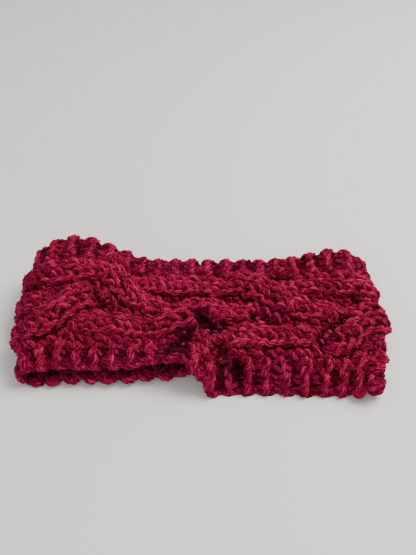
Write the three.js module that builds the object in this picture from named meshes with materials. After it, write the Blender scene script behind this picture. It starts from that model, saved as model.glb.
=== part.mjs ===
import * as THREE from 'three';

// Ear warmer headband: one knitted strip joined into a loop, lying collapsed on a flat surface.
// Millimetres, +Z up. X runs along the flattened loop, Y across the knitted strip, and the head goes
// through along Y. The origin is on the resting surface, under the middle of the band.

// Length of the collapsed loop and the thickness of the knitted fabric
const bandLength = 250;
const wall = 8.5;

// The strip from edge to edge is a border, three strands side by side, and a border. On top the strands
// are spread, and the near border is partly tucked under on the left.
const strandWidth = 21.5;
const spreadStrand = 27;
const borderWidth = 21;
const tuckedBorder = 13;

// How far a strand's back stands above the creases beside it, and how far a crossing lifts or sinks it
const strandRise = 8.2;
const crossingRise = 4.2;
const creaseDepth = 4.4;

// How much wider than its own lane a strand's round back is, and how much of the way between crossings a
// crossing takes. Where one strand is hidden under another, the two that show fill its lane too: the one on
// top takes this share of it and the one beside it takes the rest.
const backOverlap = 1.1;
const crossingRun = 0.85;
const topShare = 0.8;

// Roundness of a strand's back (lower is squarer), how softly two strands meet in their crease, and the
// share of half the strip over which the plait fades into a border
const backRoundness = 0.75;
const creaseBlend = 0.9;
const plaitFade = 0.12;

// Height of the hollow inside the loop: at the puffed left fold, between the layers, at the right fold
const leftHollow = 28;
const layerGap = 6.2;
const rightHollow = 15.5;

// How far the folds stand back at the two edges of the strip
const nearSetback = 3;
const farSetback = 1;

// Width of the near side that turns down on the right half, its height above the surface, the largest
// angle it may turn through, and the least share of the hang that is worth bending
const hangWidth = 27;
const hangClearance = 0.8;
const widestBend = Math.PI * 0.7;
const leastHang = 0.001;

// Where the skin faces the surface below, the plait is pressed flat: how far the upright part of the
// skin's normal is from straight down before the relief starts, and over how much of it the relief grows
const pressedUntil = 0.05;
const pressedRun = 0.5;

// The bumps of the garter-stitch edges
const edgeBump = 1.8;
const edgeBumps = 40;

// Fineness of the mesh
const sectionsPerBump = 3;
const outerSteps = 20;
const innerSteps = 12;
const edgeSteps = 3;

// Fineness of the sums: steps of the length table, halvings for the bend, and the step either side of a
// point for its normal
const tableSteps = 1500;
const bendRounds = 30;
const normalStep = 0.002;

// Sections round the loop: the lower left first, then over the top, and back below. Along is the place
// along the band (share of half its length). Near, middle and far give the height of the inner face above
// the lower layer in those lanes, as shares of the hollow named beside them. Spread, tuck and hang are the
// shares that the section takes of the spread strands, of the tucked border and of the hanging side.
const loopSections = [
  { along: -0.84, hollow: leftHollow, near: -0.03, middle: 0.00, far: 0.00, spread: 0.2, tuck: 0, hang: 0 },
  { along: -0.96, hollow: leftHollow, near: -0.08, middle: 0.02, far: 0.06, spread: 0.25, tuck: 0, hang: 0 },
  { along: -1.00, hollow: leftHollow, near: 0.06, middle: 0.28, far: 0.42, spread: 0.3, tuck: 0.3, hang: 0 },
  { along: -0.93, hollow: leftHollow, near: 0.17, middle: 0.54, far: 0.82, spread: 0.4, tuck: 0.8, hang: 0 },
  { along: -0.79, hollow: leftHollow, near: 0.20, middle: 0.64, far: 0.98, spread: 0.4, tuck: 1, hang: 0 },
  { along: -0.66, hollow: leftHollow, near: 0.20, middle: 0.62, far: 0.87, spread: 0.4, tuck: 1, hang: 0 },
  { along: -0.52, hollow: leftHollow, near: 0.20, middle: 0.50, far: 0.56, spread: 0.4, tuck: 1, hang: 0 },
  { along: -0.38, hollow: leftHollow, near: 0.20, middle: 0.34, far: 0.28, spread: 0.4, tuck: 1, hang: 0 },
  { along: -0.24, hollow: layerGap, near: 1.15, middle: 1.25, far: 0.98, spread: 0.4, tuck: 1, hang: 0 },
  { along: -0.12, hollow: layerGap, near: 1.75, middle: 1.35, far: 0.95, spread: 0.5, tuck: 0.9, hang: 0 },
  { along: -0.02, hollow: layerGap, near: 1.70, middle: 1.30, far: 0.95, spread: 0.75, tuck: 0.4, hang: 0.35 },
  { along: 0.07, hollow: layerGap, near: 0.96, middle: 0.95, far: 0.95, spread: 0.95, tuck: 0, hang: 0.9 },
  { along: 0.14, hollow: layerGap, near: 0.92, middle: 0.91, far: 0.95, spread: 0.9, tuck: 0, hang: 1 },
  { along: 0.24, hollow: layerGap, near: 1.00, middle: 1.00, far: 0.95, spread: 0.9, tuck: 0, hang: 1 },
  { along: 0.40, hollow: layerGap, near: 1.00, middle: 1.00, far: 0.97, spread: 0.9, tuck: 0, hang: 1 },
  { along: 0.56, hollow: rightHollow, near: 0.42, middle: 0.44, far: 0.50, spread: 0.95, tuck: 0, hang: 1 },
  { along: 0.72, hollow: rightHollow, near: 0.43, middle: 0.53, far: 0.80, spread: 1, tuck: 0, hang: 1 },
  { along: 0.84, hollow: rightHollow, near: 0.45, middle: 0.58, far: 0.98, spread: 1, tuck: 0, hang: 0.92 },
  { along: 0.93, hollow: rightHollow, near: 0.44, middle: 0.54, far: 0.94, spread: 1, tuck: 0, hang: 0.66 },
  { along: 0.985, hollow: rightHollow, near: 0.40, middle: 0.42, far: 0.70, spread: 1, tuck: 0, hang: 0.38 },
  { along: 1.00, hollow: rightHollow, near: 0.20, middle: 0.24, far: 0.36, spread: 0.9, tuck: 0, hang: 0.1 },
  { along: 0.98, hollow: rightHollow, near: -0.06, middle: 0.04, far: 0.10, spread: 0.7, tuck: 0, hang: 0 },
  { along: 0.90, hollow: rightHollow, near: -0.06, middle: 0.00, far: 0.01, spread: 0.4, tuck: 0.2, hang: 0 },
  { along: 0.76, hollow: rightHollow, near: 0.00, middle: 0.00, far: 0.00, spread: 0.1, tuck: 1, hang: 0 },
  { along: 0.40, hollow: layerGap, near: 0.00, middle: 0.00, far: 0.00, spread: 0, tuck: 1, hang: 0 },
  { along: 0.05, hollow: layerGap, near: 0.00, middle: 0.00, far: 0.00, spread: 0, tuck: 1, hang: 0 },
  { along: -0.15, hollow: layerGap, near: 0.00, middle: 0.00, far: 0.00, spread: 0.1, tuck: 0.4, hang: 0 },
  { along: -0.45, hollow: layerGap, near: 0.00, middle: 0.00, far: 0.00, spread: 0.15, tuck: 0, hang: 0 },
];

// Crossings of the plait, as shares of the way round the loop from the first section. The strand in the
// named outer lane comes over into the middle, and the middle strand goes under it to that outer lane.
const crossings = [
  { at: 0.020, over: 'far' },
  { at: 0.125, over: 'near' },
  { at: 0.198, over: 'far' },
  { at: 0.288, over: 'near' },
  { at: 0.408, over: 'far' },
  { at: 0.528, over: 'near' },
  { at: 0.626, over: 'far' },
  { at: 0.720, over: 'near' },
  { at: 0.818, over: 'far' },
  { at: 0.916, over: 'near' },
];

// Sizes that follow from those above. Across runs from -1 at the near edge to 1 at the far edge, with the
// strands between -plaitEdge and plaitEdge.
const bandWidth = 3 * strandWidth + 2 * borderWidth;
const rim = wall / 2;
const faceWidth = bandWidth - 2 * rim;
const plaitEdge = 3 * strandWidth / faceWidth;
const laneStep = 2 * plaitEdge / 3;
const sectionCount = edgeBumps * sectionsPerBump;

function lerp(from, to, share) {
  return from + (to - from) * share;
}

function limited(share) {
  return Math.min(1, Math.max(0, share));
}

function smooth(share) {
  const s = limited(share);
  return s * s * (3 - 2 * s);
}

// One closed curve through all the sections, for the inner face of one lane
function laneCurve(lane, reach) {
  const points = loopSections.map((section) => (
    new THREE.Vector3(section.along * reach, 0, wall + section.hollow * section[lane])
  ));
  return new THREE.CatmullRomCurve3(points, true, 'centripetal');
}

const reach = bandLength / 2 - wall;
const nearCurve = laneCurve('near', reach - nearSetback);
const middleCurve = laneCurve('middle', reach);
const farCurve = laneCurve('far', reach - farSetback);
const layCurve = new THREE.CatmullRomCurve3(
  loopSections.map((section) => new THREE.Vector3(section.spread, section.tuck, section.hang)),
  true,
  'centripetal',
);

// Length of the loop up to each of many places on it, halfway through the fabric's thickness
const lengthTable = [{ parameter: 0, length: 0 }];
function fabricCentre(parameter) {
  const tangent = middleCurve.getTangent(parameter);
  const normal = new THREE.Vector3(-tangent.z, 0, tangent.x);
  return middleCurve.getPoint(parameter).addScaledVector(normal, wall / 2);
}
for (let step = 1; step <= tableSteps; step += 1) {
  const parameter = step / tableSteps;
  const before = lengthTable[step - 1];
  const length = before.length + fabricCentre(parameter).distanceTo(fabricCentre(before.parameter));
  lengthTable.push({ parameter, length });
}

// Curve parameter at a share of the way round, so that equal shares are equal lengths of fabric
function parameterAt(share) {
  const wanted = (share - Math.floor(share)) * lengthTable[tableSteps].length;
  let low = 0;
  let high = tableSteps;
  while (high - low > 1) {
    const middle = Math.floor((low + high) / 2);
    if (lengthTable[middle].length <= wanted) {
      low = middle;
    } else {
      high = middle;
    }
  }
  const from = lengthTable[low];
  const to = lengthTable[high];
  return lerp(from.parameter, to.parameter, (wanted - from.length) / (to.length - from.length));
}

// Angle through which a strip turns, in an even bend, for its edge to drop by a share of its length
function bendAngle(dropShare) {
  let low = 0;
  let high = widestBend;
  for (let round = 0; round < bendRounds; round += 1) {
    const angle = (low + high) / 2;
    if ((1 - Math.cos(angle)) / angle < dropShare) {
      low = angle;
    } else {
      high = angle;
    }
  }
  return low;
}

// Point of the inner face
function innerPoint(share, across) {
  const parameter = parameterAt(share);
  const near = nearCurve.getPoint(parameter);
  const middle = middleCurve.getPoint(parameter);
  const far = farCurve.getPoint(parameter);
  const lay = layCurve.getPoint(parameter);
  const point = new THREE.Vector3();
  point.addScaledVector(near, across * (across - 1) / 2);
  point.addScaledVector(middle, 1 - across * across);
  point.addScaledVector(far, across * (across + 1) / 2);

  const spreadWidth = 3 * (spreadStrand - strandWidth) * limited(lay.x);
  const tuckedWidth = (borderWidth - tuckedBorder) * limited(lay.y);
  const plaitShare = limited((plaitEdge - across) / (2 * plaitEdge));
  const nearShare = limited((-plaitEdge - across) / (1 - plaitEdge));
  const fromFar = faceWidth * (1 - across) / 2 + spreadWidth * plaitShare - tuckedWidth * nearShare;
  const fromNear = faceWidth + spreadWidth - tuckedWidth - fromFar;
  point.y = faceWidth / 2 - fromFar;

  const hang = limited(lay.z);
  if (fromNear < hangWidth && hang > leastHang) {
    const fullAngle = bendAngle(hang * (near.z - hangClearance) / hangWidth);
    const radius = hangWidth / fullAngle;
    const turned = hangWidth - fromNear;
    point.y += turned - radius * Math.sin(turned / radius);
    point.z -= radius * (1 - Math.cos(turned / radius));
  }
  return point;
}

// Where the three strands are at a share of the way round: the lane (-1 near, 0 middle, 1 far), how far
// each is lifted, and how many lanes wide it is
function strandsAt(share) {
  const count = crossings.length;
  const place = share - Math.floor(share);
  for (let index = -1; index <= count; index += 1) {
    const turn = Math.floor(index / count);
    const here = crossings[(index + count) % count];
    const before = crossings[(index - 1 + count) % count].at + Math.floor((index - 1) / count);
    const after = crossings[(index + 1) % count].at + Math.floor((index + 1) / count);
    const centre = here.at + turn;
    const start = (before + centre) / 2;
    const end = (centre + after) / 2;
    if (place >= start && place < end) {
      const half = place < centre
        ? 0.5 * (place - start) / (centre - start)
        : 0.5 + 0.5 * (place - centre) / (end - centre);
      const side = here.over === 'near' ? -1 : 1;
      const lift = Math.sin(Math.PI * half);
      const moved = smooth(0.5 + (half - 0.5) / crossingRun);
      const topWider = topShare * lift;
      const besideWider = (1 - topShare) * lift;
      return [
        { lane: side * (1 - moved + besideWider / 2), lift, width: 1 + topWider },
        { lane: side * moved, lift: -lift, width: 1 },
        { lane: -side * (1 - besideWider / 2), lift: 0, width: 1 + besideWider },
      ];
    }
  }
  return [];
}

// Thickness of the fabric with the plait's strands standing on it. Relief is 0 where it is pressed flat.
function thickness(share, across, relief) {
  let strandTop = 0;
  for (const strand of strandsAt(share)) {
    const offset = (across - strand.lane * laneStep) / (backOverlap * strand.width * laneStep / 2);
    const back = Math.max(0, 1 - offset * offset) ** backRoundness;
    const height = back * (strandRise + crossingRise * strand.lift);
    const blend = limited(0.5 + (height - strandTop) / (2 * creaseBlend));
    strandTop = lerp(strandTop, height, blend) + creaseBlend * blend * (1 - blend);
  }
  const inPlait = smooth((plaitEdge + plaitFade - Math.abs(across)) / plaitFade);
  return wall + relief * inPlait * (strandTop - creaseDepth);
}

// Unit normal of the inner face, pointing out of the loop
function outward(share, across) {
  const along = innerPoint(share + normalStep, across).sub(innerPoint(share - normalStep, across));
  const farther = Math.min(1, across + normalStep);
  const nearer = Math.max(-1, across - normalStep);
  const over = innerPoint(share, farther).sub(innerPoint(share, nearer));
  return along.cross(over).normalize();
}

// One section across the strip: the outer face from near to far, round the far edge, the inner face back
// and round the near edge
function sectionPoints(index) {
  const share = index / sectionCount;
  const bump = edgeBump * (index % sectionsPerBump === 0 ? 1 : 0);
  const inner = [];
  const outer = [];
  for (let step = 0; step <= innerSteps; step += 1) {
    inner.push(innerPoint(share, 1 - 2 * step / innerSteps));
  }
  for (let step = 0; step <= outerSteps; step += 1) {
    const across = -1 + 2 * step / outerSteps;
    const normal = outward(share, across);
    const relief = smooth((normal.z + 1 - pressedUntil) / pressedRun);
    const face = innerPoint(share, across).addScaledVector(normal, thickness(share, across, relief));
    face.z = Math.max(0, face.z);
    outer.push(face);
  }
  const nearEdge = edgePoints(inner[innerSteps], outer[0], inner[innerSteps - 1], bump);
  const farEdge = edgePoints(outer[outerSteps], inner[0], inner[1], bump);
  return [...outer, ...farEdge, ...inner, ...nearEdge];
}

// Points round one edge of the strip, between its two faces and away from the face behind it
function edgePoints(from, to, behind, bump) {
  const face = from.distanceTo(behind) < to.distanceTo(behind) ? from : to;
  const away = face.clone().sub(behind).normalize();
  const centre = from.clone().add(to).multiplyScalar(0.5);
  const half = from.clone().sub(centre);
  const points = [];
  for (let step = 1; step < edgeSteps; step += 1) {
    const angle = Math.PI * step / edgeSteps;
    const point = centre.clone().addScaledVector(half, Math.cos(angle));
    point.addScaledVector(away, (half.length() + bump) * Math.sin(angle));
    point.z = Math.max(0, point.z);
    points.push(point);
  }
  return points;
}

// Joins the sections into one closed skin
function bandGeometry() {
  const positions = [];
  const faces = [];
  let perSection = 0;
  for (let index = 0; index < sectionCount; index += 1) {
    const section = sectionPoints(index);
    perSection = section.length;
    section.forEach((point) => positions.push(point.x, point.y, point.z));
  }
  for (let index = 0; index < sectionCount; index += 1) {
    const next = (index + 1) % sectionCount;
    for (let step = 0; step < perSection; step += 1) {
      const beside = (step + 1) % perSection;
      const a = index * perSection + step;
      const b = next * perSection + step;
      const c = next * perSection + beside;
      const d = index * perSection + beside;
      faces.push(a, b, c, a, c, d);
    }
  }
  const geometry = new THREE.BufferGeometry();
  geometry.setAttribute('position', new THREE.Float32BufferAttribute(positions, 3));
  geometry.setIndex(faces);
  geometry.computeBoundingBox();
  const middle = geometry.boundingBox.getCenter(new THREE.Vector3());
  geometry.translate(-middle.x, -middle.y, 0);
  geometry.computeVertexNormals();
  return geometry;
}

const wool = new THREE.MeshStandardMaterial({ color: 0x7d1035, roughness: 0.95, metalness: 0 });
const band = new THREE.Mesh(bandGeometry(), wool);
band.name = 'knit_band';

const headband = new THREE.Group();
headband.add(band);

export default headband;
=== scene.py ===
import math

import bpy
import numpy as np
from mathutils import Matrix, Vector


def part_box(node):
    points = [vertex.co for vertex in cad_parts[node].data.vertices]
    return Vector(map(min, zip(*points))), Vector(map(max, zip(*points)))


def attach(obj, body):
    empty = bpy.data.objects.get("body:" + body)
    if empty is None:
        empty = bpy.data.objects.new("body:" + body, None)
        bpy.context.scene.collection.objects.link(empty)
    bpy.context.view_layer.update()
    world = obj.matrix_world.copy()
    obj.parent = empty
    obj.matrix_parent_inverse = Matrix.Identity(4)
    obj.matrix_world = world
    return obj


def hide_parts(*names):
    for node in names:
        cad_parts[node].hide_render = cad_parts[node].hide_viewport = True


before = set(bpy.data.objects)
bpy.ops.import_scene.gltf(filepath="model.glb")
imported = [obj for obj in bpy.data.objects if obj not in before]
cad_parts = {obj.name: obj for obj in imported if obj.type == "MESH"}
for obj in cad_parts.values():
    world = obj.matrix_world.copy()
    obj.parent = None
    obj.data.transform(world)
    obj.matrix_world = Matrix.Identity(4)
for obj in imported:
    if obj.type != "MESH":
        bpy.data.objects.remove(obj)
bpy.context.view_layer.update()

# Sizes of the band in millimetres, the same as the solid's. X runs along the flattened loop, Y across the
# knitted strip. Share goes once round the loop, and across goes from -1 at the near edge to 1 at the far
# one.
MM = 0.001
BAND_LENGTH = 250.0
WALL = 8.5
STRAND_WIDTH = 21.5
SPREAD_STRAND = 27.0
BORDER_WIDTH = 21.0
TUCKED_BORDER = 13.0
STRAND_RISE = 8.2
CROSSING_RISE = 4.2
CREASE_DEPTH = 4.4
BACK_OVERLAP = 1.1
CROSSING_RUN = 0.85
TOP_SHARE = 0.8
BACK_ROUNDNESS = 0.75
PLAIT_FADE = 0.12
LEFT_HOLLOW = 28.0
LAYER_GAP = 6.2
RIGHT_HOLLOW = 15.5
NEAR_SETBACK = 3.0
FAR_SETBACK = 1.0
HANG_WIDTH = 27.0
HANG_CLEARANCE = 0.8
WIDEST_BEND = 0.7 * math.pi
LEAST_HANG = 0.001
PRESSED_UNTIL = 0.05
PRESSED_RUN = 0.5
EDGE_BUMP = 1.8
EDGE_BUMPS = 40

RIM = WALL / 2
FACE_WIDTH = 3 * STRAND_WIDTH + 2 * BORDER_WIDTH - 2 * RIM
PLAIT_EDGE = 3 * STRAND_WIDTH / FACE_WIDTH
LANE_STEP = 2 * PLAIT_EDGE / 3

# Sections round the loop: place along the band, hollow, heights of the inner face in the near, middle and
# far lanes, and the shares of the spread strands, the tucked border and the hanging side
LOOP = [
    (-0.84, LEFT_HOLLOW, -0.03, 0.00, 0.00, 0.2, 0, 0),
    (-0.96, LEFT_HOLLOW, -0.08, 0.02, 0.06, 0.25, 0, 0),
    (-1.00, LEFT_HOLLOW, 0.06, 0.28, 0.42, 0.3, 0.3, 0),
    (-0.93, LEFT_HOLLOW, 0.17, 0.54, 0.82, 0.4, 0.8, 0),
    (-0.79, LEFT_HOLLOW, 0.20, 0.64, 0.98, 0.4, 1, 0),
    (-0.66, LEFT_HOLLOW, 0.20, 0.62, 0.87, 0.4, 1, 0),
    (-0.52, LEFT_HOLLOW, 0.20, 0.50, 0.56, 0.4, 1, 0),
    (-0.38, LEFT_HOLLOW, 0.20, 0.34, 0.28, 0.4, 1, 0),
    (-0.24, LAYER_GAP, 1.15, 1.25, 0.98, 0.4, 1, 0),
    (-0.12, LAYER_GAP, 1.75, 1.35, 0.95, 0.5, 0.9, 0),
    (-0.02, LAYER_GAP, 1.70, 1.30, 0.95, 0.75, 0.4, 0.35),
    (0.07, LAYER_GAP, 0.96, 0.95, 0.95, 0.95, 0, 0.9),
    (0.14, LAYER_GAP, 0.92, 0.91, 0.95, 0.9, 0, 1),
    (0.24, LAYER_GAP, 1.00, 1.00, 0.95, 0.9, 0, 1),
    (0.40, LAYER_GAP, 1.00, 1.00, 0.97, 0.9, 0, 1),
    (0.56, RIGHT_HOLLOW, 0.42, 0.44, 0.50, 0.95, 0, 1),
    (0.72, RIGHT_HOLLOW, 0.43, 0.53, 0.80, 1, 0, 1),
    (0.84, RIGHT_HOLLOW, 0.45, 0.58, 0.98, 1, 0, 0.92),
    (0.93, RIGHT_HOLLOW, 0.44, 0.54, 0.94, 1, 0, 0.66),
    (0.985, RIGHT_HOLLOW, 0.40, 0.42, 0.70, 1, 0, 0.38),
    (1.00, RIGHT_HOLLOW, 0.20, 0.24, 0.36, 0.9, 0, 0.1),
    (0.98, RIGHT_HOLLOW, -0.06, 0.04, 0.10, 0.7, 0, 0),
    (0.90, RIGHT_HOLLOW, -0.06, 0.00, 0.01, 0.4, 0.2, 0),
    (0.76, RIGHT_HOLLOW, 0.00, 0.00, 0.00, 0.1, 1, 0),
    (0.40, LAYER_GAP, 0.00, 0.00, 0.00, 0, 1, 0),
    (0.05, LAYER_GAP, 0.00, 0.00, 0.00, 0, 1, 0),
    (-0.15, LAYER_GAP, 0.00, 0.00, 0.00, 0.1, 0.4, 0),
    (-0.45, LAYER_GAP, 0.00, 0.00, 0.00, 0.15, 0, 0),
]

# Crossings of the plait: share of the way round, and the side of the outer strand that comes over
CROSSINGS = [
    (0.020, 1), (0.125, -1), (0.198, 1), (0.288, -1), (0.408, 1),
    (0.528, -1), (0.626, 1), (0.720, -1), (0.818, 1), (0.916, -1),
]

# The knitting: rows round the loop, stitches across a strand and a border, points along a stitch's yarn, the
# yarn's radius, the fabric's depth from front to back, how far the creases open, and the yarn's plies
ROWS = 2 * EDGE_BUMPS
STITCHES = 3
STITCH_POINTS = 22
YARN = 2.05
FRONT_TO_BACK = 4.3
OPEN_CREASE = 2.4
PLIES = 5
SIDES = 10
GROOVE = 0.80
CREST = 1.08
PLY_TURN = 17.0

# Garter ridges of the borders: place in rows of the first one, how strongly the rows beside a ridge draw
# towards it at the edge, and how far a ridge stands out of the fabric
RIDGE_AT = 0.15
RIDGE_PULL = 0.26
RIDGE_RISE = 1.0

# Deep places between the strands, which only the yarn has: share and across of one end and of the other,
# then half width and depth in millimetres
HOLLOWS = [
    (0.166, 0.03, 0.194, -0.24, 2.8, 5.5),
    (0.310, -0.24, 0.345, -0.30, 5.0, 7.0),
    (0.330, -0.56, 0.366, -0.80, 4.5, 3.6),
    (0.384, -0.06, 0.416, -0.27, 3.6, 7.5),
    (0.504, -0.15, 0.470, -0.47, 4.4, 8.5),
    (0.274, -0.82, 0.302, -0.50, 3.2, 5.5),
    (0.560, 0.50, 0.575, 0.72, 3.5, 2.5),
]

# Painted shade in the wool's colour: the depth in millimetres at which a deep place is fully dark, the share
# of the darkest colour that is left there, and how strongly the back of a border's yarn and the creases take
# part
DARK_AT = 4.5
DEEP_SHADE = 0.3
BORDER_SHADE = 0.55
CREASE_SHADE = 0.3

# How much of a deep place a border follows, and how far the near border's edge hangs over the mouth
BORDER_SINK = 0.4
EDGE_DROOP = 2.4

# Unevenness of the hand work: the yarn's thickness as a share of it, how unlike the stitches are, in stitch
# widths, rows and depths, and the slow waves of the fabric in millimetres
UNEVEN_YARN = 0.30
UNEVEN_WIDTH = 0.09
UNEVEN_SIDE = 0.05
UNEVEN_LENGTH = 0.06
UNEVEN_ROW = 0.09
UNEVEN_DEPTH = 0.11
STRAND_WAVES = 0.8
BORDER_WAVES = 0.5

# The matted body, coloured near-black as painted shade for the gaps between the stitches: its inner face
# above the fabric's, its top under the yarn's and its least thickness
CORE_FACE = 2.6
CORE_UNDER = 3.6
CORE_LEAST = 0.5

# Loose fibres: how many, their radius and how many places each piece offers for their roots
FIBRES = 13500
FIBRE_RADIUS = 0.13
ROOTS_KEPT = 6000

CAMERA_PLACE = (0.0055, -0.4035, 0.3629)
CAMERA_DOWN = 37.62

rng = np.random.default_rng(23)


def limited(value):
    return np.clip(value, 0.0, 1.0)


def smooth(value):
    s = limited(value)
    return s * s * (3 - 2 * s)


def unit(vectors):
    return vectors / np.maximum(np.linalg.norm(vectors, axis=-1, keepdims=True), 1e-9)


def closed_curve(points):
    """Closed centripetal curve through the points, as a function of a parameter from 0 to 1."""
    points = np.asarray(points, float)
    count = len(points)

    def at(parameter):
        place = np.mod(parameter, 1.0) * count
        index = np.floor(place).astype(int)
        w = (place - index)[..., None]
        p0, p1, p2, p3 = (points[(index + k) % count] for k in (-1, 0, 1, 2))
        pairs = ((p0, p1), (p1, p2), (p2, p3))
        steps = [np.sqrt(np.linalg.norm(b - a, axis=-1))[..., None] for a, b in pairs]
        d1 = np.where(steps[1] < 1e-4, 1.0, steps[1])
        d0 = np.where(steps[0] < 1e-4, d1, steps[0])
        d2 = np.where(steps[2] < 1e-4, d1, steps[2])
        t1 = ((p1 - p0) / d0 - (p2 - p0) / (d0 + d1) + (p2 - p1) / d1) * d1
        t2 = ((p2 - p1) / d1 - (p3 - p1) / (d1 + d2) + (p3 - p2) / d2) * d1
        return p1 + w * (t1 + w * (3 * (p2 - p1) - 2 * t1 - t2 + w * (2 * (p1 - p2) + t1 + t2)))

    return at


def lane_curve(column, reach):
    return closed_curve([(row[0] * reach, WALL + row[1] * row[column]) for row in LOOP])


REACH = BAND_LENGTH / 2 - WALL
near_curve = lane_curve(2, REACH - NEAR_SETBACK)
middle_curve = lane_curve(3, REACH)
far_curve = lane_curve(4, REACH - FAR_SETBACK)
lay_curve = closed_curve([row[5:8] for row in LOOP])


def length_table():
    """Share of the loop's length up to each of many parameters, halfway through the fabric."""
    parameters = np.linspace(0, 1, 1501)
    step = 1e-4
    tangent = unit(middle_curve(parameters + step) - middle_curve(parameters - step))
    normal = np.stack([-tangent[:, 1], tangent[:, 0]], axis=1)
    centre = middle_curve(parameters) + normal * WALL / 2
    lengths = np.concatenate([[0], np.cumsum(np.linalg.norm(np.diff(centre, axis=0), axis=1))])
    return parameters, lengths / lengths[-1], lengths[-1]


TABLE_PARAMETERS, TABLE_SHARES, LOOP_LENGTH = length_table()


def parameter_at(share):
    return np.interp(np.mod(share, 1.0), TABLE_SHARES, TABLE_PARAMETERS)


def bend_angle(drop_share):
    low = np.zeros_like(drop_share)
    high = np.full_like(drop_share, WIDEST_BEND)
    for _ in range(30):
        angle = (low + high) / 2
        below = (1 - np.cos(angle)) / angle < drop_share
        low = np.where(below, angle, low)
        high = np.where(below, high, angle)
    return np.maximum(low, 1e-6)


def inner_point(share, across):
    """Point of the inner face, in millimetres."""
    parameter = parameter_at(share)
    near, middle, far = near_curve(parameter), middle_curve(parameter), far_curve(parameter)
    spread, tuck, hang = np.moveaxis(limited(lay_curve(parameter)), -1, 0)
    a = across[..., None]
    flat = near * a * (a - 1) / 2 + middle * (1 - a * a) + far * a * (a + 1) / 2

    spread_width = 3 * (SPREAD_STRAND - STRAND_WIDTH) * spread
    tucked_width = (BORDER_WIDTH - TUCKED_BORDER) * tuck
    plait_share = limited((PLAIT_EDGE - across) / (2 * PLAIT_EDGE))
    near_share = limited((-PLAIT_EDGE - across) / (1 - PLAIT_EDGE))
    from_far = FACE_WIDTH * (1 - across) / 2 + spread_width * plait_share - tucked_width * near_share
    from_near = FACE_WIDTH + spread_width - tucked_width - from_far
    y = FACE_WIDTH / 2 - from_far

    full_angle = bend_angle(np.maximum(hang, LEAST_HANG) * (near[..., 1] - HANG_CLEARANCE) / HANG_WIDTH)
    radius = HANG_WIDTH / full_angle
    turned = np.maximum(HANG_WIDTH - from_near, 0)
    bending = hang > LEAST_HANG
    y = y + np.where(bending, turned - radius * np.sin(turned / radius), 0)
    z = flat[..., 1] - np.where(bending, radius * (1 - np.cos(turned / radius)), 0)
    return np.stack([flat[..., 0], y, z], axis=-1)


def directions(share, across):
    """Unit vectors along the loop, across the strip and out of the inner face."""
    step = 0.002
    along = inner_point(share + step, across) - inner_point(share - step, across)
    farther, nearer = np.minimum(across + step, 1), np.maximum(across - step, -1)
    over = inner_point(share, farther) - inner_point(share, nearer)
    out = unit(np.cross(along, over))
    return unit(along), unit(over), out


def tuck_at(share):
    return limited(lay_curve(parameter_at(share))[..., 1])


def plait_windows():
    """Stretches between the crossings' midpoints, with the strand that goes over, under and straight on."""
    count = len(CROSSINGS)
    at = [CROSSINGS[i % count][0] + i // count for i in range(-3, count + 4)]
    sides = [CROSSINGS[i % count][1] for i in range(-3, count + 4)]
    holder = {-1: 0, 0: 1, 1: 2}
    windows = []
    for i in range(1, len(at) - 1):
        side = sides[i]
        over, under, straight = holder[side], holder[0], holder[-side]
        start, end = (at[i - 1] + at[i]) / 2, (at[i] + at[i + 1]) / 2
        windows.append((start, at[i], end, side, (over, under, straight)))
        holder[0], holder[side] = over, under
    return windows


WINDOWS = plait_windows()


def strand_lane(strand, share):
    """Lane of a strand, how far it is lifted and its width in lanes, at shares from a little below 0 to a
    little over 1."""
    lane = np.zeros_like(share)
    lift = np.zeros_like(share)
    width = np.ones_like(share)
    for start, centre, end, side, (over, under, straight) in WINDOWS:
        here = (share >= start) & (share < end)
        half = np.where(share < centre, 0.5 * (share - start) / (centre - start),
                        0.5 + 0.5 * (share - centre) / (end - centre))
        rise = np.sin(np.pi * half)
        moved = smooth(0.5 + (half - 0.5) / CROSSING_RUN)
        beside_wider = (1 - TOP_SHARE) * rise
        if strand == under:
            lane = np.where(here, side * moved, lane)
            lift = np.where(here, -rise, lift)
        elif strand == over:
            lane = np.where(here, side * (1 - moved + beside_wider / 2), lane)
            lift = np.where(here, rise, lift)
            width = np.where(here, 1 + TOP_SHARE * rise, width)
        else:
            lane = np.where(here, -side * (1 - beside_wider / 2), lane)
            width = np.where(here, 1 + beside_wider, width)
    return lane, lift, width


def strand_top(across, lane, lift, width, relief):
    """Height of one strand's own skin above the inner face."""
    offset = (across - lane * LANE_STEP) / (BACK_OVERLAP * width * LANE_STEP / 2)
    back = np.maximum(0, 1 - offset * offset) ** BACK_ROUNDNESS
    in_plait = smooth((PLAIT_EDGE + PLAIT_FADE - np.abs(across)) / PLAIT_FADE)
    top = back * (STRAND_RISE + CROSSING_RISE * lift) - CREASE_DEPTH
    return WALL + relief * in_plait * top - (1 - relief) * CROSSING_RISE * np.maximum(0, -lift)


def curled_edge(across, lane, lift, width, relief):
    """How far a strand's edge curls down beside a crossing, so that the crease there is open."""
    offset = np.abs(across - lane * LANE_STEP) / (width * LANE_STEP / 2)
    return OPEN_CREASE * relief * smooth((offset - 0.45) / 0.5) * smooth(1.2 - np.abs(across) / PLAIT_EDGE)


def hollow_depth(share, across):
    """How far the yarn lies below the fabric's skin in the deep places between the strands."""
    depth = np.zeros_like(share)
    scale = np.array([LOOP_LENGTH, FACE_WIDTH / 2])
    here = np.stack([share, across], axis=-1) * scale
    for row in HOLLOWS:
        start, end = np.array(row[:2]) * scale, np.array(row[2:4]) * scale
        way = end - start
        t = limited(((here - start) @ way) / (way @ way))
        distance = np.linalg.norm(here - start - t[..., None] * way, axis=-1)
        depth = np.maximum(depth, row[5] * smooth(1.5 - distance / row[4]))
    return depth


def shade_in(share, across):
    """How much painted shade darkens the wool in the deep places, from 0 to 1."""
    return limited(hollow_depth(share, across) / DARK_AT)


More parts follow.
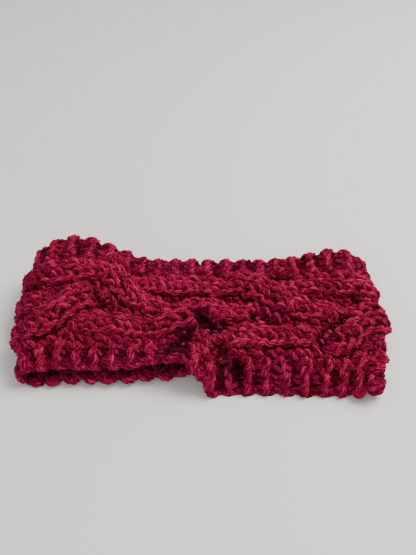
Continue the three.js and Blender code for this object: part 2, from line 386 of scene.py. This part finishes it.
def yarn_top(strand, share, across, relief):
    """Height of a strand's yarn above the inner face."""
    place = strand_lane(strand, share)
    top = strand_top(across, *place, relief) - curled_edge(across, *place, relief)
    return top - hollow_depth(share, across)


def relief_at(out):
    return smooth((out[..., 2] + 1 - PRESSED_UNTIL) / PRESSED_RUN)


def band_shift():
    """Moves the sums above into the part's frame, where the band's box is centred."""
    low, high = (np.array(corner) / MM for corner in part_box("knit_band"))
    share, across = np.meshgrid(np.linspace(0, 1, 241), np.linspace(-1, 1, 21), indexing="ij")
    _, _, out = directions(share, across)
    tops = [strand_top(across, *strand_lane(strand, share), relief_at(out)) for strand in range(3)]
    skin = inner_point(share, across) + out * np.max(tops, axis=0)[..., None]
    edge = (RIM + EDGE_BUMP) * math.sin(math.pi / 3)
    x = (low[0] + high[0]) / 2 - (skin[..., 0].min() + skin[..., 0].max()) / 2
    y = high[1] - (FACE_WIDTH / 2 + edge)
    return np.array([x, y, 0.0])


SHIFT = band_shift()


def waves(share, across, size):
    """Slow unevenness of the hand knitting, in millimetres."""
    total = 0
    for turns, steps, phase in ((13, 1.7, 0.3), (21, -2.9, 1.9), (34, 4.3, 4.1), (55, -3.1, 2.6)):
        total = total + np.sin(2 * np.pi * turns * share + steps * np.pi * across + phase)
    return size * total / 2


# One stitch from the middle of its left foot to the middle of its right foot. U is in stitch widths, v in
# rows, and the last three say how the depth follows the foot, the leg and the head.
HALF_STITCH = [
    (-0.50, -0.30, 1.00, 0.00, 0.00),
    (-0.32, -0.26, 0.85, 0.15, 0.00),
    (-0.15, -0.14, 0.40, 0.60, 0.00),
    (-0.09, 0.08, 0.06, 0.94, 0.00),
    (-0.15, 0.32, 0.00, 1.04, -0.04),
    (-0.27, 0.58, 0.00, 1.00, 0.00),
    (-0.39, 0.82, 0.00, 0.72, 0.28),
    (-0.43, 1.04, 0.00, 0.26, 0.74),
    (-0.30, 1.22, 0.00, 0.05, 0.95),
    (0.00, 1.29, 0.00, 0.00, 1.00),
]


def stitch_template(samples):
    """Evenly spaced points of one stitch, as columns u, v, foot, leg and head."""
    half = np.array(HALF_STITCH)
    mirrored = half[-2::-1] * np.array([-1, 1, 1, 1, 1])
    rows = np.vstack([half, mirrored])
    ahead = np.vstack([rows[-2] - np.array([1, 0, 0, 0, 0]), rows, rows[1] + np.array([1, 0, 0, 0, 0])])
    dense = []
    for i in range(1, len(ahead) - 2):
        p0, p1, p2, p3 = ahead[i - 1:i + 3]
        for w in np.arange(8) / 8:
            t1, t2 = (p2 - p0) / 2, (p3 - p1) / 2
            dense.append(p1 + w * (t1 + w * (3 * (p2 - p1) - 2 * t1 - t2 + w * (2 * (p1 - p2) + t1 + t2))))
    dense.append(rows[-1])
    dense = np.array(dense)
    size = dense[:, :3] * np.array([8.0, 6.4, 0]) + dense[:, 4:5] * np.array([0, 0, FRONT_TO_BACK])
    lengths = np.concatenate([[0], np.cumsum(np.linalg.norm(np.diff(size, axis=0), axis=1))])
    wanted = np.linspace(0, lengths[-1], samples + 1)
    return np.stack([np.interp(wanted, lengths, column) for column in dense.T], axis=1)


def stitch_rows(rows, depths, samples):
    """Paths of whole rows of stitches: u counted from the first stitch's middle, v in rows, and depth.

    depths gives each row's foot, leg and head depth, from 0 at the front to 1 at the back.
    """
    template = stitch_template(samples)
    us, vs, ds = [], [], []
    for stitch in range(STITCHES):
        part = template if stitch == STITCHES - 1 else template[:-1]
        jitter = rng.normal(0, 1, (len(rows), 4, 1))
        u, v, foot, leg, top = part.T
        us.append(stitch + u * (1 + UNEVEN_WIDTH * jitter[:, 0]) + UNEVEN_SIDE * jitter[:, 3])
        vs.append(rows[:, None] + v * (1 + UNEVEN_LENGTH * jitter[:, 1]) + UNEVEN_ROW * jitter[:, 1])
        depth = foot * depths[:, :1] + leg * depths[:, 1:2] + top * depths[:, 2:]
        ds.append(depth + UNEVEN_DEPTH * jitter[:, 2])
    u, v, d = (np.concatenate(parts, axis=1) for parts in (us, vs, ds))
    for _ in range(2):
        for values in (u, v, d):
            values[:, 1:-1] = 0.25 * values[:, :-2] + 0.5 * values[:, 1:-1] + 0.25 * values[:, 2:]
    return u, v, d


def sweep(points, facing, radius, sides, lobes, painted_shade=0.0):
    """Tubes along many paths: points are (tubes, places, 3), facing starts each tube's frame, and the last
    argument gives the painted shade of each place, from 0 to 1. Each mark is a place on the yarn and its
    painted shade."""
    tubes, places, _ = points.shape
    tangent = unit(np.gradient(points, axis=1))
    steps = np.linalg.norm(np.diff(points, axis=1), axis=2)
    along = np.concatenate([np.zeros((tubes, 1)), np.cumsum(steps, axis=1)], axis=1)
    up = np.empty_like(points)
    current = facing
    for place in range(places):
        current = unit(current - (current * tangent[:, place]).sum(-1, keepdims=True) * tangent[:, place])
        up[:, place] = current
    side = np.cross(tangent, up)
    start = rng.uniform(0, 2 * np.pi, (tubes, 1, 1))
    ring = 2 * np.pi * np.arange(sides) / sides
    if lobes:
        angle = ring + start + 2 * np.pi * along[..., None] / PLY_TURN
        profile = np.where(np.arange(sides) % (sides // lobes) == 0, GROOVE, CREST)
    else:
        angle = ring + start + 0 * along[..., None]
        profile = np.ones(sides)
    reach = radius[..., None] * profile
    outward = np.cos(angle)[..., None] * up[:, :, None] + np.sin(angle)[..., None] * side[:, :, None]
    offset = reach[..., None] * outward
    vertices = points[:, :, None] + offset
    vertices[..., 2] = np.maximum(vertices[..., 2], 0.05)
    marks = np.empty((*angle.shape, 4))
    marks[..., 3] = np.asarray(painted_shade)[..., None]
    marks[..., 0] = along[..., None] + 40 * start
    marks[..., 1] = np.cos(ring)
    marks[..., 2] = np.sin(ring)

    place, corner = np.meshgrid(np.arange(places - 1), np.arange(sides), indexing="ij")
    beside = (corner + 1) % sides
    quads = np.stack([place * sides + corner, place * sides + beside,
                      (place + 1) * sides + beside, (place + 1) * sides + corner], axis=-1).reshape(-1, 4)
    first = (np.arange(tubes) * places * sides)[:, None, None]
    faces = (quads[None] + first).reshape(-1, 4)
    ends = []
    for tube in range(tubes):
        base = tube * places * sides
        ends.append([base + k for k in range(sides)])
        ends.append([base + (places - 1) * sides + k for k in reversed(range(sides))])
    return vertices.reshape(-1, 3), faces, ends, marks.reshape(-1, 4), offset.reshape(-1, 3)


def piece(name, parts, material):
    """One mesh object out of several sweeps, in metres, riding with the band and standing for its solid."""
    vertices, faces, marks = [], [], []
    base = 0
    for points, quads, ends, mark in parts:
        vertices.append(points)
        marks.append(mark)
        faces += (np.asarray(quads) + base).tolist()
        faces += [[k + base for k in end] for end in ends]
        base += len(points)
    vertices = (np.vstack(vertices) + SHIFT) * MM
    mesh = bpy.data.meshes.new(name)
    mesh.from_pydata(vertices.tolist(), [], faces)
    marks = np.vstack(marks)
    mesh.attributes.new("yarn", "FLOAT_VECTOR", "POINT").data.foreach_set("vector", marks[:, :3].ravel())
    # The painted shade of each place, which darkens the wool's colour in the deep places and creases
    mesh.attributes.new("painted_shade", "FLOAT", "POINT").data.foreach_set("value", marks[:, 3].copy())
    mesh.polygons.foreach_set("use_smooth", [True] * len(mesh.polygons))
    mesh.update()
    obj = bpy.data.objects.new(name, mesh)
    bpy.context.scene.collection.objects.link(obj)
    obj.data.materials.append(material)
    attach(obj, "root")
    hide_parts("knit_band")
    return obj


def yarn_radius(shape):
    """Thick and thin places along the yarn."""
    noise = rng.normal(0, 1, shape)
    for _ in range(6):
        noise[:, 1:-1] = (noise[:, :-2] + noise[:, 1:-1] + noise[:, 2:]) / 3
    return YARN * (1 + UNEVEN_YARN * noise)


fibre_roots = []


def keep_roots(vertices, offset, depth, sides):
    """Remembers places on the outer side of the yarn, where loose fibres start."""
    shown = np.repeat(depth.ravel() < 0.45, sides)
    picked = rng.choice(np.nonzero(shown)[0], min(ROOTS_KEPT, int(shown.sum())), replace=False)
    fibre_roots.append((vertices[picked], unit(offset[picked])))


def strand_piece(strand, material):
    """Three wales of stocking stitch, following one strand of the plait."""
    rows = np.arange(ROWS, dtype=float)
    knit = np.tile([1.0, 0.0, 1.0], (ROWS, 1))
    u, v, d = stitch_rows(rows, knit, STITCH_POINTS)
    share = v / ROWS
    lane, lift, width = strand_lane(strand, share)
    across = lane * LANE_STEP + (u - 1) * width * LANE_STEP / STITCHES
    edge = np.clip(across, -1, 1)
    _, _, out = directions(share, edge)
    top = yarn_top(strand, share, across, relief_at(out)) + waves(share, across, STRAND_WAVES)
    height = np.maximum(top - YARN - np.maximum(d, -0.1) * FRONT_TO_BACK, YARN)
    points = inner_point(share, edge) + out * height[..., None]
    # Painted shade: the wool is darkened in the deep places and in the open creases beside the crossings
    crease = limited(curled_edge(across, lane, lift, width, 1.0) / OPEN_CREASE)
    painted_shade = limited(shade_in(share, across) + CREASE_SHADE * crease)
    vertices, faces, ends, marks, offset = sweep(points, out[:, 0], yarn_radius(u.shape), SIDES, PLIES, painted_shade)
    keep_roots(vertices, offset, np.maximum(d, shade_in(share, across)), SIDES)
    return piece(f"strand_{strand + 1}", [(vertices, faces, ends, marks)], material)


def border_places(side, share, width):
    """Where a border's yarn lies at a distance from the plait: the fabric's middle, its directions, and how
    far each depth stands from the middle. Past the edge of the face the fabric rounds over its rim."""
    tuck = tuck_at(share) if side < 0 else np.zeros_like(share)
    flat = FACE_WIDTH * (1 - PLAIT_EDGE) / 2 - (BORDER_WIDTH - TUCKED_BORDER) * tuck
    over_rim = BORDER_WIDTH - flat
    beyond = np.maximum(width - flat, 0)
    angle = beyond / over_rim * (1.35 + 0.95 * tuck)
    across = side * (PLAIT_EDGE + (1 - PLAIT_EDGE) * limited(width / flat))
    _, over, out = directions(share, across)
    reach = RIM + EDGE_BUMP / 2 - YARN
    middle = inner_point(share, across) + out * RIM + side * over * (reach * np.sin(angle))[..., None]
    middle[..., 2] -= EDGE_DROOP * tuck * smooth(out[..., 2] * 2) * smooth(width / BORDER_WIDTH)
    return middle, out, np.cos(angle)


def border_piece(name, side, material):
    """Three stitches of garter stitch, with the yarn's turns along the strip's edge. A row that shows its
    front lies below one that shows its back, so that a ridge stands up at every second row."""
    rows = np.arange(ROWS, dtype=float)
    back = (np.arange(ROWS) % 2 == 0)[:, None]
    garter = np.where(back, [[0.0, 0.5, 1.0]], [[1.0, 0.5, 0.0]])
    u, v, d = stitch_rows(rows, garter, STITCH_POINTS)
    width = (u + 0.5) * BORDER_WIDTH / STITCHES
    v = v - RIDGE_AT - RIDGE_PULL * smooth(width / BORDER_WIDTH * 1.5) * np.sin(np.pi * (v - RIDGE_AT))
    share = v / ROWS
    middle, out, level = border_places(side, share, width)
    half = (WALL / 2 + RIDGE_RISE - YARN) * level
    across = side * (PLAIT_EDGE + (1 - PLAIT_EDGE) * width / BORDER_WIDTH)
    sink = BORDER_SINK * hollow_depth(share, across)
    uneven = waves(share, side * 0.8 + 0 * share, BORDER_WAVES)
    points = middle + out * ((1 - 2 * d) * half - sink + uneven)[..., None]
    # Painted shade: the wool is darkened in the deep places and at the back of the fabric, behind the rows in
    # front
    painted_shade = limited(shade_in(share, across) + BORDER_SHADE * smooth(1.3 * np.minimum(d, 1)))
    vertices, faces, ends, marks, offset = sweep(points, out[:, 0], yarn_radius(u.shape), SIDES, PLIES, painted_shade)
    keep_roots(vertices, offset, np.clip(d, 0, 0.4), SIDES)
    parts = [(vertices, faces, ends, marks)]

    bend = np.linspace(-1, 1, 13) * np.pi / 2
    v = 2.0 * np.arange(EDGE_BUMPS)[:, None] + 0.55 * np.sin(bend)[None]
    width = BORDER_WIDTH * (0.86 + 0.14 * np.cos(bend))[None] + 0 * v
    middle, out, _ = border_places(side, v / ROWS, width)
    _, over, _ = directions(v / ROWS, np.full_like(v, float(side)))
    push = (EDGE_BUMP * np.cos(bend))[None] * rng.uniform(0.6, 1.3, (EDGE_BUMPS, 1))
    points = middle + side * over * push[..., None]
    vertices, faces, ends, marks, offset = sweep(points, out[:, 0], 1.15 * yarn_radius(v.shape), SIDES, PLIES)
    parts.append((vertices, faces, ends, marks))
    return piece(name, parts, material)


def purl_piece(material):
    """The purl bumps on the back of the plait, which line the inside of the loop."""
    waves_across = 3 * STITCHES
    places = 8 * waves_across + 1
    x = np.linspace(0, waves_across, places)[None] + np.zeros((ROWS, 1))
    v = np.arange(ROWS)[:, None] + 0.5 - 0.42 * np.cos(2 * np.pi * x) + rng.normal(0, 0.04, (ROWS, places))
    across = -PLAIT_EDGE + 2 * PLAIT_EDGE * x / waves_across
    share = v / ROWS
    _, _, out = directions(share, across)
    height = YARN * 0.95 + 0.5 * np.sin(4 * np.pi * x)
    points = inner_point(share, across) + out * height[..., None]
    radius = 0.95 * yarn_radius(points.shape[:2])
    vertices, faces, ends, marks, _ = sweep(points, out[:, 0], radius, 6, 0)
    return piece("purl_side", [(vertices, faces, ends, marks)], material)


def core_piece(material):
    """The matted body of the fabric, just under the yarn that shows; its near-black wool is painted shade in
    the gaps between the stitches.
    """
    around, steps = 240, 44
    share = np.arange(around)[:, None] / around + np.zeros((1, steps))
    across = np.linspace(-1, 1, steps)[None] + np.zeros((around, 1))
    _, _, out = directions(share, across)
    tops = np.max([yarn_top(strand, share, across, relief_at(out)) for strand in range(3)], axis=0)
    base = inner_point(share, across)
    low = CORE_FACE
    high = np.maximum(tops - CORE_UNDER, low + CORE_LEAST)
    outer = base + out * high[..., None]
    inner = (base + out * low)[:, ::-1]
    ring = np.concatenate([outer, inner], axis=1)
    count = ring.shape[1]
    place, corner = np.meshgrid(np.arange(around), np.arange(count), indexing="ij")
    following, beside = (place + 1) % around, (corner + 1) % count
    faces = np.stack([place * count + corner, following * count + corner,
                      following * count + beside, place * count + beside], axis=-1).reshape(-1, 4)
    marks = np.zeros((around * count, 4))
    return piece("knit_core", [(ring.reshape(-1, 3), faces, [], marks)], material)


def fibre_piece(material):
    """Loose fibres that stand off the yarn."""
    roots = np.vstack([root for root, _ in fibre_roots])
    outward = np.vstack([away for _, away in fibre_roots])
    count = min(FIBRES, len(roots))
    picked = rng.choice(len(roots), count, replace=False)
    roots, outward = roots[picked], outward[picked]
    length = rng.gamma(2.2, 0.8, (count, 1)) + 1.0
    lean = unit(rng.normal(0, 1, (count, 3)))
    curl = unit(rng.normal(0, 1, (count, 3)))
    places = []
    for t in (-0.1, 0.5, 1.0):
        places.append(roots + length * t * unit(outward * 0.55 + lean * 0.9) + curl * length * 0.3 * t * t)
    points = np.stack(places, axis=1)
    points[..., 2] = np.maximum(points[..., 2], 0.3)
    thin = np.array([1.0, 0.8, 0.25])[None]
    radius = FIBRE_RADIUS * rng.uniform(0.7, 1.3, (count, 1)) * thin
    vertices, faces, ends, marks, _ = sweep(points, unit(rng.normal(0, 1, (count, 3))), radius, 3, 0)
    return piece("loose_fibres", [(vertices, faces, ends, marks)], material)


def math_node(nodes, links, operation, *values):
    """A maths node, fed by sockets or plain numbers."""
    node = nodes.new("ShaderNodeMath")
    node.operation = operation
    for socket, value in zip(node.inputs, values):
        if isinstance(value, (int, float)):
            socket.default_value = value
        else:
            links.new(value, socket)
    return node.outputs[0]


def noise_node(nodes, links, vector, scale, detail):
    node = nodes.new("ShaderNodeTexNoise")
    node.inputs["Scale"].default_value = scale
    node.inputs["Detail"].default_value = detail
    links.new(vector, node.inputs["Vector"])
    return node.outputs["Fac"]


def ply_groove(nodes, links, yarn):
    """0 on the crests of the plies and 1 in the grooves between them."""
    split = nodes.new("ShaderNodeSeparateXYZ")
    links.new(yarn, split.inputs["Vector"])
    angle = math_node(nodes, links, "ARCTAN2", split.outputs["Z"], split.outputs["Y"])
    turns = math_node(nodes, links, "MULTIPLY", angle, PLIES)
    wave = math_node(nodes, links, "COSINE", turns)
    groove = nodes.new("ShaderNodeMapRange")
    groove.inputs["From Min"].default_value = -0.2
    groove.inputs["From Max"].default_value = 1.0
    links.new(wave, groove.inputs["Value"])
    return groove.outputs["Result"]


def wool(name, darkest, middle, lightest, streaks, groove_shade):
    """Heathered wool: streaks along the plies, a slow change of dye, a fine matted bump, and painted shade
    that darkens the wool in the grooves between the plies and in the deep places of the fabric."""
    material = bpy.data.materials.new(name)
    material.use_nodes = True
    nodes, links = material.node_tree.nodes, material.node_tree.links
    shader = nodes["Principled BSDF"]
    shader.inputs["Sheen Weight"].default_value = 0.14
    shader.inputs["Sheen Roughness"].default_value = 0.4
    shader.inputs["Sheen Tint"].default_value = (0.9, 0.15, 0.32, 1)
    shader.inputs["Specular IOR Level"].default_value = 0.06

    yarn = nodes.new("ShaderNodeAttribute")
    yarn.attribute_name = "yarn"
    stretch = nodes.new("ShaderNodeMapping")
    stretch.inputs["Scale"].default_value = (0.17, 1.35, 1.35)
    links.new(yarn.outputs["Vector"], stretch.inputs["Vector"])
    streak = noise_node(nodes, links, stretch.outputs["Vector"], 1.1, 2.0)

    place = nodes.new("ShaderNodeTexCoord")
    dye = noise_node(nodes, links, place.outputs["Object"], 90.0, 2.0)
    matted = noise_node(nodes, links, place.outputs["Object"], 900.0, 4.0)

    blend = math_node(nodes, links, "MULTIPLY_ADD", streak, streaks, matted)
    shade = math_node(nodes, links, "MULTIPLY_ADD", dye, 0.5, blend)
    spread = nodes.new("ShaderNodeMapRange")
    middle_value = 0.5 * (streaks + 1.5)
    spread.inputs["From Min"].default_value = middle_value - 0.30
    spread.inputs["From Max"].default_value = middle_value + 0.30
    links.new(shade, spread.inputs["Value"])
    ramp = nodes.new("ShaderNodeValToRGB")
    ramp.color_ramp.elements[0].color = (*darkest, 1)
    ramp.color_ramp.elements[1].color = (*lightest, 1)
    ramp.color_ramp.elements.new(0.5).color = (*middle, 1)
    links.new(spread.outputs["Result"], ramp.inputs["Fac"])

    # Painted shade: the colour is drawn towards a share of the darkest one in the ply grooves and in the deep
    # places
    groove = ply_groove(nodes, links, yarn.outputs["Vector"])
    deepen = math_node(nodes, links, "MULTIPLY", groove, groove_shade)
    painted_shade = nodes.new("ShaderNodeAttribute")
    painted_shade.attribute_name = "painted_shade"
    deepest = math_node(nodes, links, "MAXIMUM", deepen, painted_shade.outputs["Fac"])
    darken = nodes.new("ShaderNodeMix")
    darken.data_type = "RGBA"
    darken.inputs["B"].default_value = (*(DEEP_SHADE * part for part in darkest), 1)
    links.new(deepest, darken.inputs["Factor"])
    links.new(ramp.outputs["Color"], darken.inputs["A"])
    links.new(darken.outputs["Result"], shader.inputs["Base Color"])

    rough = nodes.new("ShaderNodeMapRange")
    rough.inputs["To Min"].default_value = 0.78
    rough.inputs["To Max"].default_value = 0.98
    links.new(matted, rough.inputs["Value"])
    links.new(rough.outputs["Result"], shader.inputs["Roughness"])
    bump = nodes.new("ShaderNodeBump")
    bump.inputs["Strength"].default_value = 0.8
    bump.inputs["Distance"].default_value = 0.0010
    links.new(blend, bump.inputs["Height"])
    links.new(bump.outputs["Normal"], shader.inputs["Normal"])
    return material


def floor():
    mesh = bpy.data.meshes.new("floor")
    mesh.from_pydata([(-3, -3, 0), (3, -3, 0), (3, 3, 0), (-3, 3, 0)], [], [(0, 1, 2, 3)])
    obj = bpy.data.objects.new("floor", mesh)
    bpy.context.scene.collection.objects.link(obj)
    material = bpy.data.materials.new("pale_floor")
    material.use_nodes = True
    nodes, links = material.node_tree.nodes, material.node_tree.links
    shader = nodes["Principled BSDF"]
    shader.inputs["Roughness"].default_value = 0.8
    noise = nodes.new("ShaderNodeTexNoise")
    noise.inputs["Scale"].default_value = 6.0
    ramp = nodes.new("ShaderNodeValToRGB")
    ramp.color_ramp.elements[0].color = (0.82, 0.80, 0.785, 1)
    ramp.color_ramp.elements[1].color = (0.88, 0.86, 0.845, 1)
    links.new(noise.outputs["Fac"], ramp.inputs["Fac"])
    links.new(ramp.outputs["Color"], shader.inputs["Base Color"])
    mesh.materials.append(material)


def area_light(name, place, target, size, power, colour):
    light = bpy.data.lights.new(name, "AREA")
    light.size = size
    light.energy = power
    light.color = colour
    obj = bpy.data.objects.new(name, light)
    bpy.context.scene.collection.objects.link(obj)
    obj.location = place
    obj.rotation_euler = (Vector(target) - Vector(place)).to_track_quat("-Z", "Y").to_euler()


def studio():
    world = bpy.data.worlds.new("studio")
    bpy.context.scene.world = world
    world.use_nodes = True
    background = world.node_tree.nodes["Background"]
    background.inputs["Color"].default_value = (0.95, 0.97, 1.0, 1)
    background.inputs["Strength"].default_value = 0.56
    area_light("window", (0.70, 0.30, 1.05), (0, 0, 0), 0.8, 21.0, (1.0, 0.98, 0.95))
    area_light("fill", (-0.2, -1.1, 0.6), (0, 0, 0), 0.8, 5.0, (1.0, 0.97, 0.95))


def camera():
    data = bpy.data.cameras.new("camera")
    data.lens = 50
    data.sensor_width = 36
    obj = bpy.data.objects.new("camera", data)
    bpy.context.scene.collection.objects.link(obj)
    obj.location = CAMERA_PLACE
    obj.rotation_euler = (math.radians(90 - CAMERA_DOWN), 0, 0)
    bpy.context.scene.camera = obj


yarn_wool = wool("crimson_wool", (0.055, 0.001, 0.007), (0.31, 0.005, 0.041), (0.64, 0.025, 0.13), 1.6, 0.47)
# Near-black wool of the body under the yarn: painted shade for the deep gaps between the stitches
core_shade_material = wool("core_shade_black", (0.018, 0.0, 0.002), (0.045, 0.0, 0.005), (0.09, 0.0, 0.012), 0.0, 0.0)
# Loose fibres' wool, lighter and pinker than the yarn's: partly the light fibres of the heathered yarn,
# partly painted highlight for the light the thin fibres catch
fibre_wool = wool("fibre_wool", (0.30, 0.002, 0.05), (0.55, 0.01, 0.12), (0.80, 0.06, 0.24), 0.0, 0.0)

camera()
studio()
floor()
pieces = [strand_piece(strand, yarn_wool) for strand in range(3)]
pieces += [border_piece("border_far", 1, yarn_wool), border_piece("border_near", -1, yarn_wool)]
pieces.append(purl_piece(yarn_wool))
pieces.append(fibre_piece(fibre_wool))
core = core_piece(core_shade_material)
